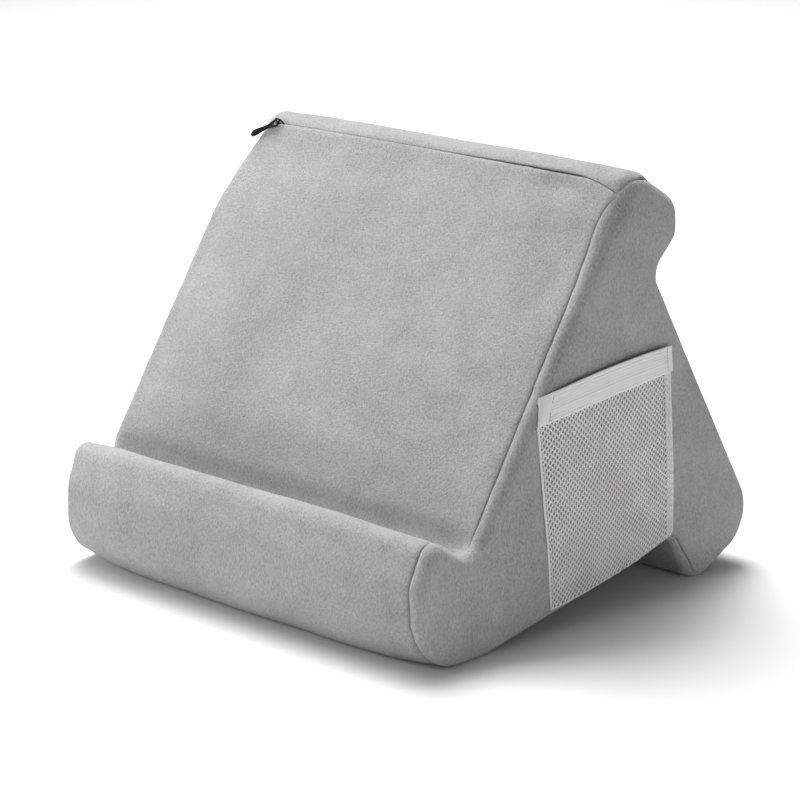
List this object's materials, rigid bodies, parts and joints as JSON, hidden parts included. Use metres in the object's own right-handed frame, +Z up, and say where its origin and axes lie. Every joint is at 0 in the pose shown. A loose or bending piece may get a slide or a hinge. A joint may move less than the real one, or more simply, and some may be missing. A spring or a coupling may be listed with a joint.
{
  "type": "tablet stand",
  "caption": "Foam lap stand for a tablet: plush cover, ledges at all corners, zip along the top edge and a mesh side pocket.",
  "frame": {"origin": "on the table, under the middle of the stand's box", "axes": "+X along the width, to the pocket's side; -Y to the front lip that the tablet stands behind; +Z up"},
  "size_m": [0.3062, 0.2899, 0.2533],
  "materials": {
    "plush": "short-pile grey plush, softly mottled where the pile is brushed",
    "foam": "open-cell polyurethane foam",
    "mesh_fabric": "warp-knitted mesh with small oval holes",
    "elastic": "ribbed woven elastic",
    "zip_tape": "woven polyester tape",
    "zip_coil": "nylon coil",
    "zip_metal": "black enamel, satin"
  },
  "bodies": {
    "root": {"foam_core": "foam", "front_panel": "plush", "base_panel": "plush", "back_panel": "plush", "left_side_panel": "plush", "right_side_panel": "plush", "pocket_mesh": "mesh_fabric", "pocket_elastic_band": "elastic", "zip_tape_front": "zip_tape", "zip_tape_back": "zip_tape", "zip_coil_front": "zip_coil", "zip_coil_back": "zip_coil", "zip_top_stop": "zip_metal", "zip_bottom_stop": "zip_metal"},
    "slider": {"zip_slider_body": "zip_metal", "zip_slider_crown": "zip_metal"},
    "pull": {"zip_pull": "zip_metal"}
  },
  "joints": [
    {"name": "zip_slide", "type": "slide", "parent": "root", "child": "slider", "axis": [1, 0, 0], "range_m": [0, 0.24]},
    {"name": "pull_swing", "type": "hinge", "parent": "slider", "child": "pull", "pos_m": [-0.131, 0.02413, 0.24994], "axis": [-0.5, 0.6016, 0.623], "range_deg": [0, 180]}
  ]
}
